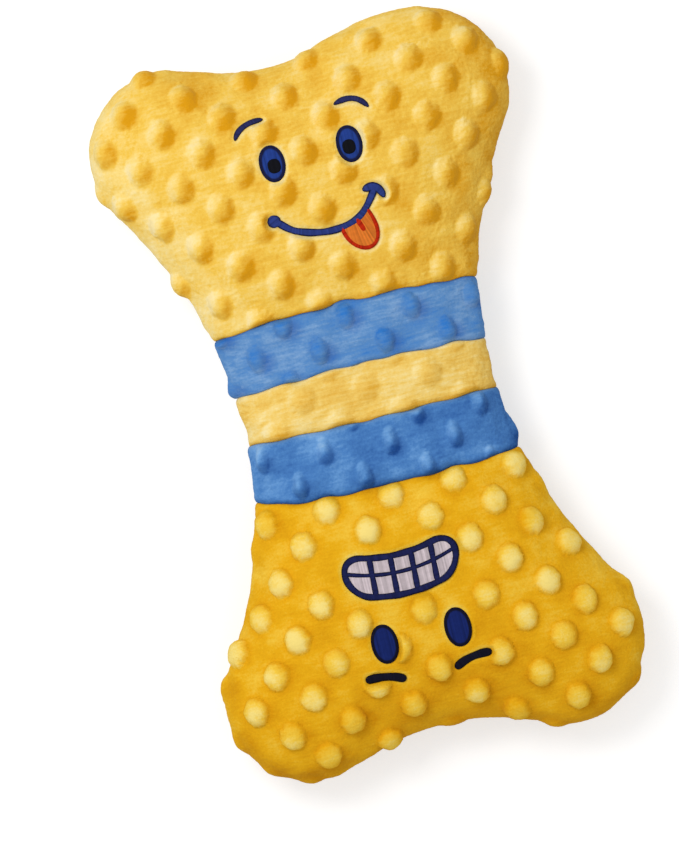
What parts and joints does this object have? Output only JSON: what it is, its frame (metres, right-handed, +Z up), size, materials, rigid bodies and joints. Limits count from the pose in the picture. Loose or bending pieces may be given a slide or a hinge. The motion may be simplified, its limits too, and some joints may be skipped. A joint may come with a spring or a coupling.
{
  "type": "squeaky plush dog toy",
  "caption": "Stuffed plush dog toy with bone-shaped outline, raised dots, striped waist, a smiling face at one end, a gritted-teeth face at the other, and reed squeakers inside.",
  "frame": {"origin": "middle of the toy's outline, on the surface that it lies on", "axes": "+Y along the toy's length towards the smiling end, +X across it to the right as seen from the front, +Z up out of the embroidered front"},
  "size_m": [0.1824, 0.3096, 0.047],
  "materials": {
    "pale_yellow_plush": "short-pile plush with raised dots",
    "amber_yellow_plush": "short-pile plush with raised dots",
    "blue_plush": "short-pile plush with raised dots",
    "fibre_fill": "loose polyester fibre",
    "squeaker_bulb": "soft blow-moulded plastic",
    "squeaker_plug": "moulded plastic",
    "squeaker_reed": "thin springy film",
    "navy_thread": "satin-stitch embroidery",
    "royal_blue_thread": "satin-stitch embroidery",
    "black_thread": "satin-stitch embroidery",
    "coral_thread": "satin-stitch embroidery",
    "red_thread": "satin-stitch embroidery",
    "white_thread": "satin-stitch embroidery"
  },
  "bodies": {
    "waist": {"centre_band_front": "pale_yellow_plush", "centre_band_back": "pale_yellow_plush", "upper_blue_band_front": "blue_plush", "upper_blue_band_back": "blue_plush", "lower_blue_band_front": "blue_plush", "lower_blue_band_back": "blue_plush", "upper_bend_fill": "fibre_fill", "waist_fill": "fibre_fill", "lower_bend_fill": "fibre_fill"},
    "upper_end": {"upper_panel_front": "pale_yellow_plush", "upper_panel_back": "pale_yellow_plush", "upper_fill_front": "fibre_fill", "upper_fill_back": "fibre_fill", "upper_squeaker_bulb": "squeaker_bulb", "upper_left_brow": "navy_thread", "upper_right_brow": "navy_thread", "upper_left_eye": "royal_blue_thread", "upper_right_eye": "royal_blue_thread", "upper_left_pupil": "black_thread", "upper_right_pupil": "black_thread", "smile": "navy_thread", "tongue": "coral_thread", "tongue_edge": "red_thread", "tongue_line": "red_thread"},
    "lower_end": {"lower_panel_front": "amber_yellow_plush", "lower_panel_back": "amber_yellow_plush", "lower_fill_front": "fibre_fill", "lower_fill_back": "fibre_fill", "lower_squeaker_bulb": "squeaker_bulb", "lower_left_brow": "navy_thread", "lower_right_brow": "navy_thread", "lower_left_eye": "royal_blue_thread", "lower_right_eye": "royal_blue_thread", "teeth": "white_thread", "mouth_lines": "navy_thread"},
    "upper_voice": {"upper_squeaker_plug": "squeaker_plug", "upper_reed_holder": "squeaker_plug", "upper_reed_wedge": "squeaker_plug"},
    "lower_voice": {"lower_squeaker_plug": "squeaker_plug", "lower_reed_holder": "squeaker_plug", "lower_reed_wedge": "squeaker_plug"},
    "upper_reed_strip": {"upper_reed": "squeaker_reed"},
    "lower_reed_strip": {"lower_reed": "squeaker_reed"}
  },
  "joints": [
    {"name": "upper_fold", "type": "hinge", "parent": "waist", "child": "upper_end", "pos_m": [0, 0.02605, 0.02325], "axis": [1, 0, 0], "range_deg": [-60, 60], "stiffness_Nm_per_rad": 0.6, "deforming": ["upper_blue_band_front", "upper_blue_band_back", "upper_bend_fill"]},
    {"name": "lower_fold", "type": "hinge", "parent": "waist", "child": "lower_end", "pos_m": [0, -0.02365, 0.02325], "axis": [-1, 0, 0], "range_deg": [-60, 60], "stiffness_Nm_per_rad": 0.6, "deforming": ["lower_blue_band_front", "lower_blue_band_back", "lower_bend_fill"]},
    {"name": "upper_squeeze", "type": "slide", "parent": "upper_end", "child": "upper_voice", "axis": [0, 0, -1], "range_m": [0, 0.01], "stiffness_N_per_m": 800, "deforming": ["upper_squeaker_bulb", "upper_fill_front"]},
    {"name": "lower_squeeze", "type": "slide", "parent": "lower_end", "child": "lower_voice", "axis": [0, 0, -1], "range_m": [0, 0.01], "stiffness_N_per_m": 800, "deforming": ["lower_squeaker_bulb", "lower_fill_front"]},
    {"name": "upper_reed_flex", "type": "hinge", "parent": "upper_voice", "child": "upper_reed_strip", "pos_m": [0, 0.098, 0.0334], "axis": [1, 0, 0], "range_deg": [-1, 3], "stiffness_Nm_per_rad": 0.00005},
    {"name": "lower_reed_flex", "type": "hinge", "parent": "lower_voice", "child": "lower_reed_strip", "pos_m": [0, -0.098, 0.0334], "axis": [1, 0, 0], "range_deg": [-1, 3], "stiffness_Nm_per_rad": 0.00005}
  ]
}
